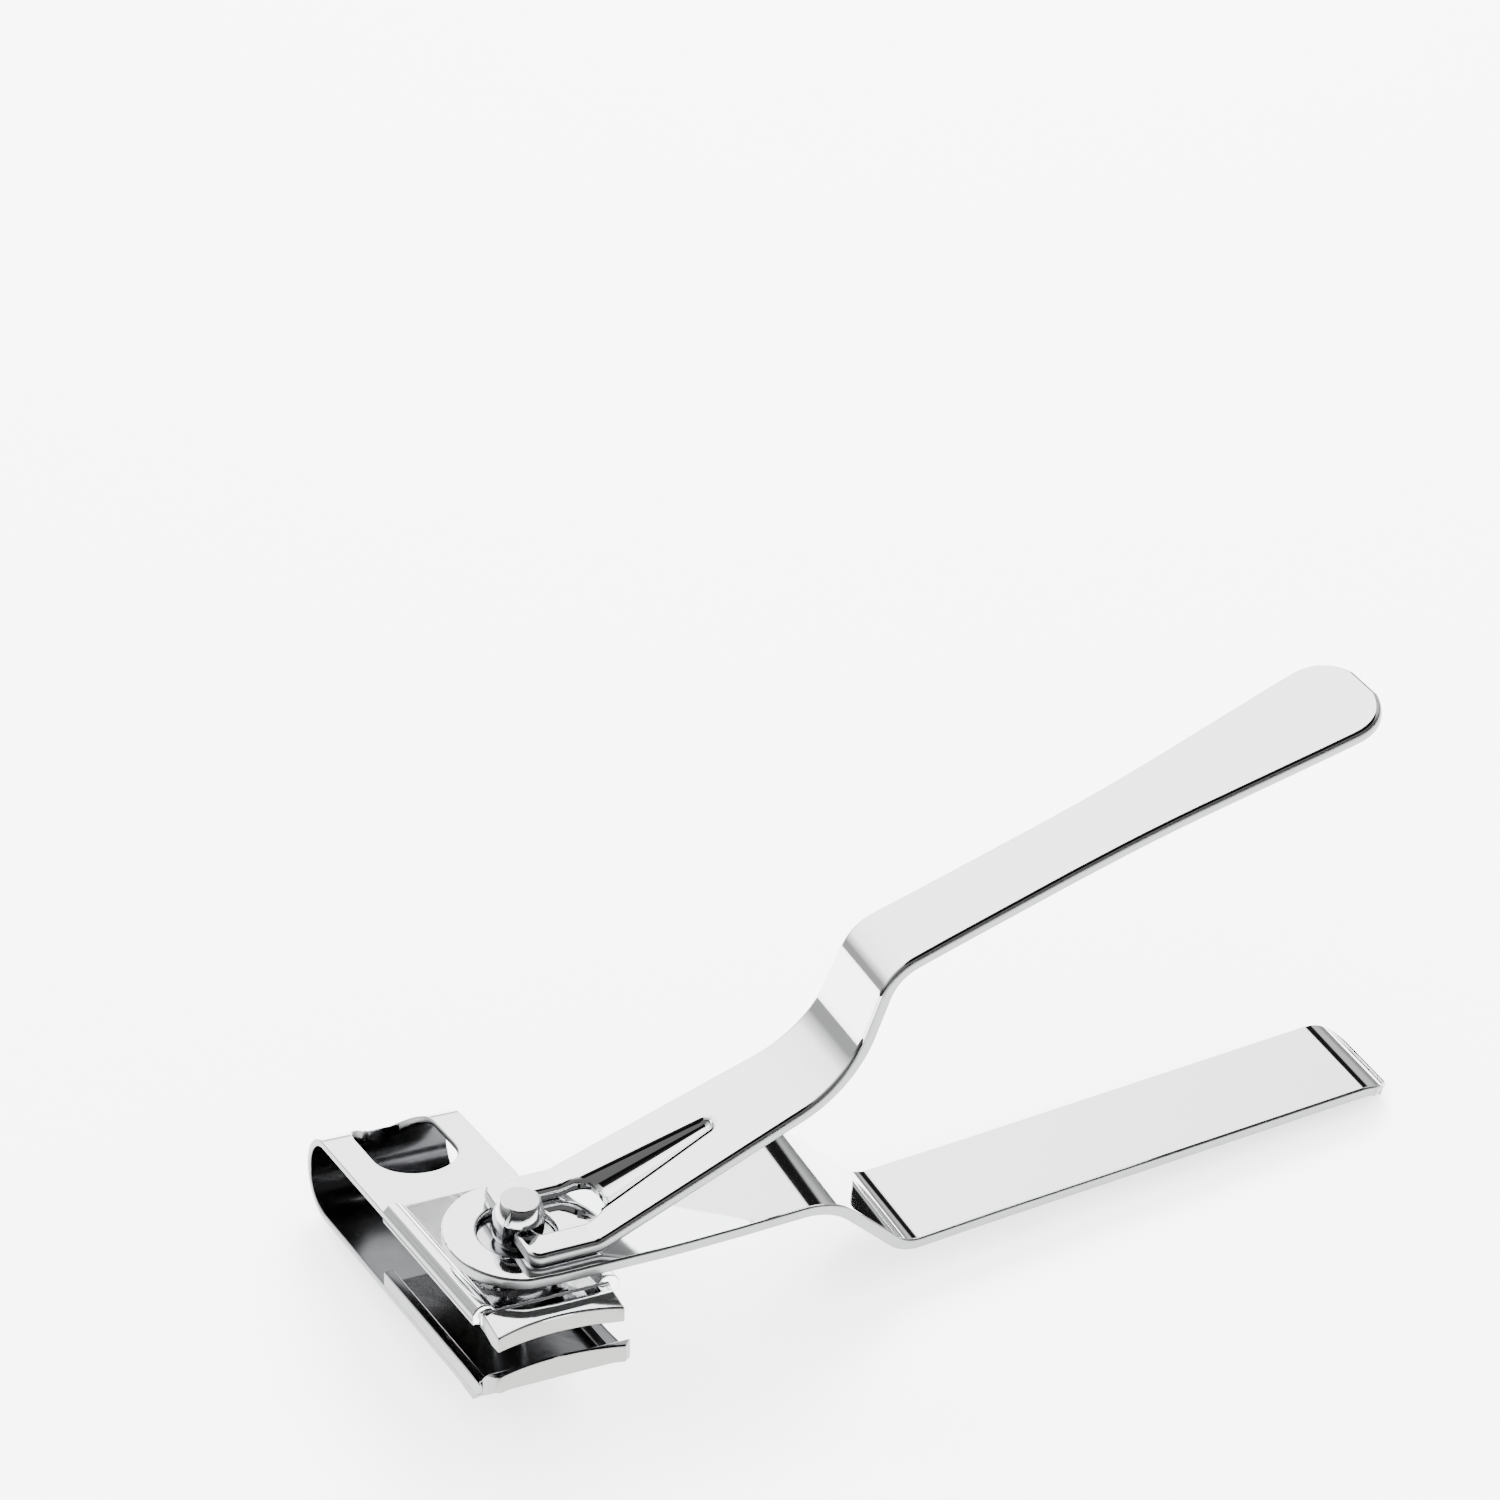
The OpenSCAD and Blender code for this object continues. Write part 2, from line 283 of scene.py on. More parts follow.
def smooth_width(knots, s):
    """Half width at s, on a smooth curve through (s, half width) knots."""
    if s <= knots[0][0]:
        return knots[0][1]
    if s >= knots[-1][0]:
        return knots[-1][1]
    i = max(k for k in range(len(knots) - 1) if knots[k][0] <= s)
    (s0, w0), (s1, w1) = knots[i], knots[i + 1]

    def slope(k):
        if k == 0 or k == len(knots) - 1:
            return 0.0
        return (knots[k + 1][1] - knots[k - 1][1]) / (knots[k + 1][0] - knots[k - 1][0])

    t = (s - s0) / (s1 - s0)
    span = s1 - s0
    return (
        w0 * (2 * t**3 - 3 * t**2 + 1)
        + w1 * (3 * t**2 - 2 * t**3)
        + slope(i) * span * (t**3 - 2 * t**2 + t)
        + slope(i + 1) * span * (t**3 - t**2)
    )


def bends_of(corners, radii):
    """Turns the corners of a strip's top line into bends: (start along the strip, radius, angle)."""
    bends = []
    along = corners[0][0]
    spent = 0.0
    for i in range(1, len(corners) - 1):
        before = Vector(corners[i]) - Vector(corners[i - 1])
        after = Vector(corners[i + 1]) - Vector(corners[i])
        turn = math.atan2(before.x * after.y - before.y * after.x, before.dot(after))
        tangent = radii[i - 1] * math.tan(abs(turn) / 2)
        along += before.length - spent - tangent
        bends.append((along, radii[i - 1], turn))
        along += radii[i - 1] * abs(turn)
        spent = tangent
    return bends, along + (Vector(corners[-1]) - Vector(corners[-2])).length - spent


def fold_lines(bends, step=math.radians(3)):
    """Where the strip is folded, and by how much each time."""
    lines = []
    for start, radius, turn in bends:
        steps = max(2, math.ceil(abs(turn) / step))
        for i in range(steps):
            lines.append((start + (i + 0.5) * radius * abs(turn) / steps, turn / steps))
    return lines


def strip(name, start, end, half_width, bends, thickness, spacing, height=0.0, finishes=()):
    """Cuts a flat blank whose half width is half_width(s), folds it at its bends and gives it thickness.

    The finishes are one for the flat faces and one for the sides.
    """
    lines = fold_lines(bends)
    rounding, cuts = 6 * MM, 16  # the round ends need closer cuts
    marks = {round(start, 7), round(end, 7)} | {round(s, 7) for s, _ in lines}
    count = math.ceil((end - start) / spacing)
    for i in range(1, count):
        s = start + (end - start) * i / count
        if min(abs(s - m) for m in marks) > spacing * 0.3:
            marks.add(round(s, 7))
    for i in range(1, cuts):
        reach = rounding * (1 - math.cos(math.pi / 2 * i / cuts))
        marks |= {round(start + reach, 7), round(end - reach, 7)}
    marks = sorted(marks)
    deselect()
    bpy.ops.mesh.primitive_plane_add(size=2 * MM)
    piece = named(name)
    edit(piece)
    pick(piece, lambda v: v.co.x > 0)
    bpy.ops.mesh.delete(type="VERT")
    bpy.ops.mesh.select_all(action="SELECT")
    here, wide = marks[0], half_width(marks[0])
    bpy.ops.transform.resize(value=(1, wide / MM, 1), center_override=(0, 0, 0))
    bpy.ops.transform.translate(value=(here + MM, 0, height))
    for s in marks[1:]:
        bpy.ops.mesh.extrude_region_move(TRANSFORM_OT_translate={"value": (s - here, 0, 0)})
        k = half_width(s) / wide
        bpy.ops.transform.resize(value=(1, k, 1), center_override=(s, 0, height))
        here, wide = s, wide * k
    leave()
    if piece.data.polygons[0].normal.z < 0:
        edit(piece)
        bpy.ops.mesh.select_all(action="SELECT")
        bpy.ops.mesh.flip_normals()
        leave()
    flat = [v.co.x for v in piece.data.vertices]
    edit(piece)
    for s, turn in lines:
        at = min(range(len(flat)), key=lambda k: abs(flat[k] - s))
        mesh = bmesh.from_edit_mesh(piece.data)
        mesh.verts.ensure_lookup_table()
        pivot = mesh.verts[at].co.copy()
        pick(piece, lambda v: flat[v.index] > s + 1e-7)
        # A positive value folds the far end up here
        bpy.ops.transform.rotate(value=turn, orient_axis="Y", center_override=(pivot.x, 0, pivot.z))
    leave()
    for material in finishes:
        piece.data.materials.append(material)
    apply(
        piece, "SOLIDIFY", thickness=thickness, offset=-1, use_even_offset=True,
        material_offset_rim=1 if finishes else 0,
    )
    return piece


# ---------------------------------------------------------------- finishes


def add_node(tree, kind, settings=None, links=None):
    """Adds a node, sets its properties and input values, and links its inputs."""
    node = tree.nodes.new(kind)
    for key, value in (settings or {}).items():
        if key in node.inputs:
            node.inputs[key].default_value = value
        else:
            setattr(node, key, value)
    for key, source in (links or {}).items():
        tree.links.new(source, node.inputs[key])
    return node


def metal(name, base, roughness, spread, grain_mm, bump_mm, stretch=(1, 1, 1)):
    """A metal whose gloss varies over a grain, which a stretch turns into brush lines."""
    material = bpy.data.materials.new(name)
    material.use_nodes = True
    tree = material.node_tree
    tree.nodes.clear()
    place_on = add_node(tree, "ShaderNodeTexCoord")
    lay = add_node(tree, "ShaderNodeMapping", {"Scale": stretch}, {"Vector": place_on.outputs["Object"]})
    grain = add_node(
        tree, "ShaderNodeTexNoise", {"Scale": 1 / (grain_mm * MM), "Detail": 4.0, "Roughness": 0.6},
        {"Vector": lay.outputs["Vector"]},
    )
    gloss = add_node(
        tree, "ShaderNodeMapRange", {"To Min": roughness - spread, "To Max": roughness + spread},
        {"Value": grain.outputs["Fac"]},
    )
    relief = add_node(
        tree, "ShaderNodeBump", {"Strength": 1.0, "Distance": bump_mm * MM},
        {"Height": grain.outputs["Fac"]},
    )
    shader = add_node(
        tree, "ShaderNodeBsdfPrincipled", {"Base Color": base, "Metallic": 1.0},
        {"Roughness": gloss.outputs["Result"], "Normal": relief.outputs["Normal"]},
    )
    add_node(tree, "ShaderNodeOutputMaterial", None, {"Surface": shader.outputs["BSDF"]})
    return material


def bright_chrome(colours):
    # Decorative chrome over polished nickel: a mirror, with the faint long waves that a buffing
    # wheel leaves in thin strip and a little haze where fingers have been.
    return metal("Bright chrome plate, buffed", colours.chrome, 0.055, 0.03, 5.0, 0.0025)


def blanked_edge(colours):
    # The cut side of pressed strip: plated but never buffed, so it stays an even satin grey.
    return metal("Chrome over blanked edge, satin", colours.edge, 0.34, 0.06, 0.4, 0.004)


def painted_shade_plate(colours):
    # Painted shade: the faces inside the fold get a dark metal colour, still half bright, that stands for
    # the shade in the folded head's hollow.
    return metal("Painted shade inside the fold", colours.inside, 0.2, 0.08, 1.5, 0.004)


def ground_steel(colours):
    # Cutting faces are ground after plating: bare steel with fine lines across the edge.
    return metal("Ground tool steel, bare", colours.ground, 0.3, 0.08, 0.25, 0.006, (0.2, 1, 1))


def turned_steel(colours):
    # Turned on a lathe and barrel-plated: bright, with soft rings that blur the reflections.
    return metal("Turned steel, bright plate", colours.turned, 0.13, 0.05, 0.8, 0.003, (1, 1, 5))


def table_top(colours):
    # Matt white laminate: pale and even, with the slightest mottle.
    material = bpy.data.materials.new("White laminate, matt")
    material.use_nodes = True
    tree = material.node_tree
    shader = tree.nodes["Principled BSDF"]
    place_on = add_node(tree, "ShaderNodeTexCoord")
    mottle = add_node(tree, "ShaderNodeTexNoise", {"Scale": 40.0}, {"Vector": place_on.outputs["Object"]})
    shade = add_node(
        tree, "ShaderNodeMapRange", {"To Min": 0.5, "To Max": 0.6}, {"Value": mottle.outputs["Fac"]}
    )
    tree.links.new(shade.outputs["Result"], shader.inputs["Roughness"])
    shader.inputs["Base Color"].default_value = colours.table
    return material


def finish(piece, main, others=()):
    """Gives a piece its finish; others are (material, test of a face) pairs for the faces that differ."""
    piece.data.materials.clear()
    piece.data.materials.append(main)
    for slot, (material, test) in enumerate(others, 1):
        piece.data.materials.append(material)
        for face in piece.data.polygons:
            if test(face):
                face.material_index = slot


# ---------------------------------------------------------------- the pieces


class CLIPPER_OT_handle(bpy.types.Operator):
    """Handle: a strip with a round end, a step down to the grip and a lip turned down at its tip"""

    bl_idname = "clipper.handle"
    bl_label = "Handle"

    def execute(self, context):
        sizes = context.scene.clipper_handle
        colours = context.scene.clipper_colours
        disc = sizes.disc_radius
        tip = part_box("handle")[1][0]
        step_drop, step_angle, grip_rise = 9 * MM, math.radians(42), math.radians(5.8)
        step_x, lip, lip_turn = 33 * MM, 2.3 * MM, math.radians(56)
        step_end = step_x + step_drop / math.tan(step_angle)
        lip_x = tip - lip
        lip_z = -step_drop + (lip_x - step_end) * math.tan(grip_rise)
        corners = [
            (-disc + 0.01 * MM, 0),
            (step_x, 0),
            (step_end, -step_drop),
            (lip_x, lip_z),
            (tip, lip_z + lip * math.tan(grip_rise - lip_turn)),
        ]
        into_step, into_grip, into_lip = 8.6 * MM, 4 * MM, 4.8 * MM  # inside radii of the bends
        bends, end = bends_of(corners, [into_step + sizes.strip, into_grip, into_lip + sizes.strip])
        neck_start, neck_end = 10 * MM, 45 * MM
        knots = [(neck_start, disc), (neck_end, sizes.grip_half), (end, sizes.grip_half)]
        corner, least = 5 * MM, 0.3 * MM

        def half_width(s):
            if s < 0:
                return math.sqrt(max(disc**2 - s**2, least**2))
            wide = smooth_width(knots, s)
            past = s - (end - corner)
            if past > 0:
                wide -= corner - math.sqrt(max(corner**2 - past**2, 0))
            return wide

        finishes = bright_chrome(colours), blanked_edge(colours)
        piece = strip(
            "handle_strip", corners[0][0], end, half_width, bends, sizes.strip, 3 * MM, finishes=finishes
        )
        over = 5 * MM
        hole = rod("hole_tool", sizes.hole_radius, -over, over)
        combine(piece, hole, "DIFFERENCE")
        tidy(piece)
        polish(piece, sizes.edge_round)
        place(piece, (0, 0, 0), (0, 0, DECK))
        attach(piece, "handle")
        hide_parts("handle")
        return {"FINISHED"}


class CLIPPER_OT_lever(bpy.types.Operator):
    """Lever: a forked strip that leaves its heel, rises steeply and ends in a spoon-shaped grip"""

    bl_idname = "clipper.lever"
    bl_label = "Lever"

    def execute(self, context):
        sizes = context.scene.clipper_handle
        colours = context.scene.clipper_colours
        low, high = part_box("lever")
        thick = sizes.lever_strip
        heel, rise, crest = 6 * MM, 33 * MM, 36.5 * MM
        rise_angle, steep, press = math.radians(24.2), math.radians(74.5), math.radians(21)
        seat_gap = 0.1 * MM
        heel_z = seat_gap + thick
        rise_z = heel_z + (rise - heel) * math.tan(rise_angle)
        crest_z = rise_z + (crest - rise) * math.tan(steep)
        corners = [
            (low[0] + 0.01 * MM, heel_z),
            (heel, heel_z),
            (rise, rise_z),
            (crest, crest_z),
            (high[0], crest_z + (high[0] - crest) * math.tan(press)),
        ]
        off_heel, into_rise, over_crest = 1.6 * MM, 12 * MM, 4.4 * MM  # inside radii of the bends
        bends, end = bends_of(corners, [off_heel, into_rise, over_crest + thick])
        fork, spoon_half = 6.3 * MM, 6.3 * MM
        knots = [
            (0, fork), (8 * MM, 6.2 * MM), (32 * MM, 5.2 * MM), (44 * MM, 4.7 * MM),
            (56 * MM, 4.45 * MM), (78 * MM, 4.6 * MM), (end - 5 * MM, spoon_half), (end, spoon_half),
        ]
        spoon, fullness = 5.5 * MM, 2.6  # length of the spoon's round end, and how square it is
        nose = 1.5 * MM

        def half_width(s):
            wide = smooth_width(knots, s)
            past = s - (end - spoon)
            if past > 0:
                wide *= (1 - (past / (1.05 * spoon)) ** fullness) ** 0.5
            short = nose - (s - corners[0][0])
            if short > 0:
                wide -= nose - math.sqrt(max(nose**2 - short**2, 0))
            return wide

        finishes = bright_chrome(colours), blanked_edge(colours)
        piece = strip(
            "lever_strip", corners[0][0], end, half_width, bends, thick, 3 * MM, heel_z, finishes
        )
        self.cut_fork(piece, sizes, heel_z, rise_angle, heel)
        tidy(piece)
        polish(piece, sizes.lever_round, 4)
        place(piece, (0, 0, 0), (0, 0, DECK))
        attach(piece, "lever")
        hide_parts("lever")
        return {"FINISHED"}

    def cut_fork(self, piece, sizes, heel_z, rise_angle, heel):
        """Cuts the gap between the prongs and presses the groove that runs on from it."""
        half = sizes.slot_half
        slot_end, lip_end, lip_gap = 9.2 * MM, 0.8 * MM, 1.55 * MM
        under, over, shift = -5 * MM, 20 * MM, 1 * MM
        gap = rod("gap_tool", half, under, over, (slot_end - half, 0), 64)
        straight = slab("straight_tool", lip_end, slot_end - half, under, over, half)
        mouth = slab("mouth_tool", under, lip_end + shift, under + shift, over - shift, lip_gap)
        for tool in (gap, straight, mouth):
            combine(piece, tool, "DIFFERENCE")
        slot_z = heel_z + (slot_end - heel) * math.tan(rise_angle)
        punch = self.make_punch()
        place(punch, (0, -rise_angle, 0), (slot_end, 0, slot_z))
        combine(piece, punch, "DIFFERENCE")

    def make_punch(self):
        """A tapering round-ended punch that lies along the strip and dips into it less and less."""
        run = 12 * MM
        (root_half, root_depth), (tip_half, tip_depth) = (2.3 * MM, 1.1 * MM), (0.85 * MM, 0.45 * MM)
        root = (root_half**2 + root_depth**2) / (2 * root_depth)
        tip = (tip_half**2 + tip_depth**2) / (2 * tip_depth)
        lead = 3 * MM
        dip = math.atan((root - root_depth - tip + tip_depth) / run)
        long = run / math.cos(dip)
        taper = (root - tip) / long
        deselect()
        bpy.ops.mesh.primitive_cone_add(
            vertices=96, radius1=root + lead * taper, radius2=tip, depth=long + lead,
            location=(0, 0, (long - lead) / 2),
        )
        punch = named("punch")
        bpy.ops.object.transform_apply(location=True, rotation=True, scale=True)
        deselect()
        bpy.ops.mesh.primitive_uv_sphere_add(
            segments=96, ring_count=48, radius=tip * 0.9995, location=(0, 0, long)
        )
        ball = named("ball")
        bpy.ops.object.transform_apply(location=True, rotation=True, scale=True)
        combine(punch, ball, "UNION")
        place(punch, (0, math.pi / 2 + dip, 0), (0, 0, root - root_depth))
        return punch


class CLIPPER_OT_head(bpy.types.Operator):
    """Head: one spring strip folded double, with side flanges, a window in its bend and two ground jaws"""

    bl_idname = "clipper.head"
    bl_label = "Head"

    def execute(self, context):
        sizes = context.scene.clipper_head
        colours = context.scene.clipper_colours
        half, sheet, wide = sizes.half_height, sizes.sheet, sizes.half_width
        hang = sizes.hang
        reach, jaw, blade_run = 34.8 * MM, 11.2 * MM, 2.6 * MM
        bend_y = reach - half
        crease = -(jaw - blade_run)
        straight = bend_y - crease
        bends = [(bend_y, half, -math.pi)]
        end = bend_y + math.pi * half + straight
        piece = strip("head_spring", crease, end, lambda s: wide, bends, sheet, 6 * MM, half)
        self.add_jaws(piece, sizes, crease, jaw)
        self.add_flanges(piece, sizes, crease)
        # A wheel grinds each jaw to the same hollow curve, the lower one 0.3 mm further out
        curve, far = 22.8 * MM, 9 * MM
        for jaw_reach, low, high in ((jaw, 0.4 * MM, far), (jaw + 0.3 * MM, -far, 0.41 * MM)):
            wheel = rod("wheel_tool", curve, low, high, (-jaw_reach - curve, 0), 256)
            combine(piece, wheel, "DIFFERENCE")
        self.trim_corners(piece, jaw)
        self.cut_window(piece, sizes, bend_y)
        foot_top, foot_radius, seat_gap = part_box("post_foot")[1][2], 3.2 * MM, 0.1 * MM
        middle = foot_top + seat_gap + foot_radius * math.tan(hang) + half / math.cos(hang)
        place(piece, (0, 0, math.pi / 2), (0, 0, 0))
        place(piece, (-hang, 0, 0), (0, 0, middle))
        hole = rod("post_hole_tool", 2.3 * MM, -2 * MM, 20 * MM)
        combine(piece, hole, "DIFFERENCE")
        tidy(piece)
        polish(piece, 0.2 * MM, 3, 38)
        self.flatten_sides(piece, wide)
        jaw_front = -10.3 * MM  # the ground faces lie ahead of this
        along = Vector((0, math.cos(hang), -math.sin(hang)))
        core = Vector((0, 0, middle))

        def faces_inward(face):
            """True for a face that looks towards the line that the strip is folded round."""
            spot = face.center - core
            ahead = min(spot.dot(along), bend_y)
            outward = spot - along * ahead
            outward.x = 0
            return face.normal.dot(outward) < -0.5 * outward.length and outward.length < half

        finish(
            piece, bright_chrome(colours),
            [
                # Painted shade: the faces that look into the fold get the dark colour
                (painted_shade_plate(colours), faces_inward),
                (blanked_edge(colours), lambda f: abs(f.normal.x) > 0.5),
                (ground_steel(colours), lambda f: f.center.y < jaw_front and f.normal.y < -0.75),
            ],
        )
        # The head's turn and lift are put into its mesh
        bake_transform(piece)
        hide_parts("upper_jaw", "lower_jaw")
        return {"FINISHED"}

    def add_jaws(self, piece, sizes, crease, jaw):
        """Joins on the thick wedges that carry the cutting edges."""
        half, inner, blade = sizes.half_height, sizes.half_height - sizes.sheet, sizes.blade_half
        edge, gap, low_reach = 2.05 * MM, 2.5 * MM, jaw + 0.3 * MM
        spare = 2 * MM  # the wheel grinds this away
        inset = 0.02 * MM  # keeps the blocks' faces just inside the strip's
        upper_root, slope = crease + 1.5 * MM, 1.25 * MM
        upper = prism(
            "upper_blade",
            [
                (upper_root, half - inset), (crease, half - 0.15 * MM), (-jaw - spare, half - slope),
                (-jaw - spare, edge), (-jaw + 0.6 * MM, edge), (upper_root, inner - 0.3 * MM),
            ],
            blade,
        )
        lower_root, rise, low_edge, relief = crease + 1.2 * MM, 2.3 * MM, edge - gap, 1.2 * MM
        lower = prism(
            "lower_blade",
            [
                (lower_root, -half + inset), (crease, -half), (-low_reach - 0.6 * MM, -half + rise),
                (-low_reach - spare, -half + rise), (-low_reach - spare, low_edge),
                (-low_reach, low_edge), (-low_reach + MM, low_edge - relief),
                (lower_root, -inner + inset),
            ],
            sizes.half_width - inset,
        )
        combine(piece, upper, "UNION")
        combine(piece, lower, "UNION")

    def flatten_sides(self, piece, wide):
        """Presses what the rounding raised past the sides back into them."""
        edit(piece)
        for side in (-1, 1):
            if pick(piece, lambda v: v.co.x * side > wide):
                bpy.ops.transform.resize(value=(0, 1, 1), center_override=(side * wide, 0, 0))
        leave()

    def trim_corners(self, piece, jaw):
        """Grinds one front corner of the lower jaw off at a slant and rounds the other."""
        slant = [(-jaw - 1.8 * MM, -6.5 * MM), (-jaw + 0.3 * MM, -8.4 * MM)]
        curve = [
            (-jaw - 1.5 * MM, 6.4 * MM), (-jaw - 1 * MM, 7.3 * MM),
            (-jaw - 0.3 * MM, 7.8 * MM), (-jaw + 0.7 * MM, 8.1 * MM),
        ]
        ahead, half_depth = -jaw - 4 * MM, 2.5 * MM
        for side, line in ((-1, slant), (1, curve)):
            far = 10 * MM * side
            outline = [*line, (line[-1][0], far), (ahead, far), (ahead, line[0][1])]
            tool = prism("corner_tool", outline, half_depth)
            place(tool, (-math.pi / 2, 0, 0), (0, 0, -half_depth))
            combine(piece, tool, "DIFFERENCE")

    def add_flanges(self, piece, sizes, crease):
        """Joins on the upper plate's turned-down sides with their beads, and the lower plate's sides."""
        half, wide = sizes.half_height, sizes.half_width
        bead, start = 1.2 * MM, 14 * MM
        inset = 0.01 * MM  # keeps the sides just inside the strip's edges
        bead_z, skirt_top = half + 0.8 * MM - bead, half - 0.3 * MM
        wall_end, wall_low, wall_top = crease - 2 * MM, 0.1 * MM - half, 2.4 * MM - half
        for side in (-1, 1):
            deselect()
            bpy.ops.mesh.primitive_cylinder_add(
                vertices=48, radius=bead, depth=start - crease, rotation=(0, math.pi / 2, 0),
                location=((start + crease) / 2, side * (wide - bead - 3 * inset), bead_z),
            )
            roll = named("bead")
            bpy.ops.object.transform_apply(location=True, rotation=True, scale=True)
            skirt = slab("skirt", crease, start, skirt_top - MM, skirt_top, bead / 2 - inset)
            wall = prism(
                "wall",
                [
                    (start, wall_low), (start, wall_top), (wall_end, wall_top),
                    (wall_end, wall_top - 0.8 * MM), (crease, wall_low),
                ],
                bead / 2 - inset,
            )
            for block in (skirt, wall):
                place(block, (0, 0, 0), (0, side * (wide - bead / 2), 0))
            for tool in (roll, skirt, wall):
                combine(piece, tool, "UNION")

    def cut_window(self, piece, sizes, bend_y):
        """Cuts the round-ended opening that runs from the upper plate over the bend."""
        half = sizes.window_half
        front, back, over = 24.3 * MM, bend_y + 3.9 * MM - half, 9 * MM
        block = slab("window_tool", front, back, 0, over, half)
        for centre in (front, back):
            combine(block, rod("round_tool", half, 0, over, (centre, 0), 64), "UNION")
        combine(piece, block, "DIFFERENCE")


class CLIPPER_OT_post(bpy.types.Operator):
    """Post: a turned pin with a notched button for the fork, and the foot riveted on under the head"""

    bl_idname = "clipper.post"
    bl_label = "Post and foot"

    def execute(self, context):
        colours = context.scene.clipper_colours
        button = context.scene.clipper_head.button_radius
        foot_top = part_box("post_foot")[1][2]
        shank, notch_low, notch_high, cap = 1.8 * MM, DECK - 0.25 * MM, DECK + 2.15 * MM, DECK + 4.04 * MM
        profile = [
            (shank, foot_top), (shank, DECK - 0.7 * MM), (2.1 * MM, DECK - 0.6 * MM),
            (button - 0.1 * MM, notch_low), (button, DECK + 0.3 * MM), (button, notch_high),
            (2.08 * MM, cap - 0.11 * MM), (1.95 * MM, cap),
        ]
        piece = turned("post_button", profile)
        neck, cutter = 1.35 * MM, 2.5 * MM
        for side in (-1, 1):
            tool = slab("notch_tool", -2 * cutter, 2 * cutter, notch_low, notch_high, cutter)
            place(tool, (0, 0, 0), (0, side * (neck + cutter), 0))
            combine(piece, tool, "DIFFERENCE")
        tidy(piece, 0.2)
        polish(piece, 0.09 * MM, 2)
        finish(piece, turned_steel(colours))
        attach(piece, "post")
        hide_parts("post")
        rim = 3.2 * MM
        foot = turned(
            "post_foot_rivet",
            [(rim - 0.6 * MM, 0), (rim - 0.2 * MM, 0.08 * MM), (rim, 0.35 * MM), (rim, foot_top)],
        )
        polish(foot, 0.08 * MM, 2)
        finish(foot, turned_steel(colours))
        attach(foot, "post")
        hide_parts("post_foot")
        return {"FINISHED"}


class CLIPPER_OT_ring(bpy.types.Operator):
    """Swivel ring: the flanged bush that the head turns on in the handle's hole"""

    bl_idname = "clipper.ring"
    bl_label = "Swivel ring"

    def execute(self, context):
        colours = context.scene.clipper_colours
        low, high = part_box("swivel_bush")
        flange, neck, bore = high[0], 4.02 * MM, 1.86 * MM
        flange_top = DECK - 1.43 * MM  # just clear of the handle's underside
        piece = turned(
            "swivel_ring",
            [(flange, low[2]), (flange, flange_top), (neck, flange_top + 0.001 * MM), (neck, high[2])],
        )
        combine(piece, rod("bore_tool", bore, low[2] - MM, high[2] + MM, sides=72), "DIFFERENCE")
        tidy(piece, 0.2)
        polish(piece, 0.07 * MM, 2)
        finish(piece, turned_steel(colours))
        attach(piece, "head_upper")
        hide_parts("swivel_bush")
        return {"FINISHED"}


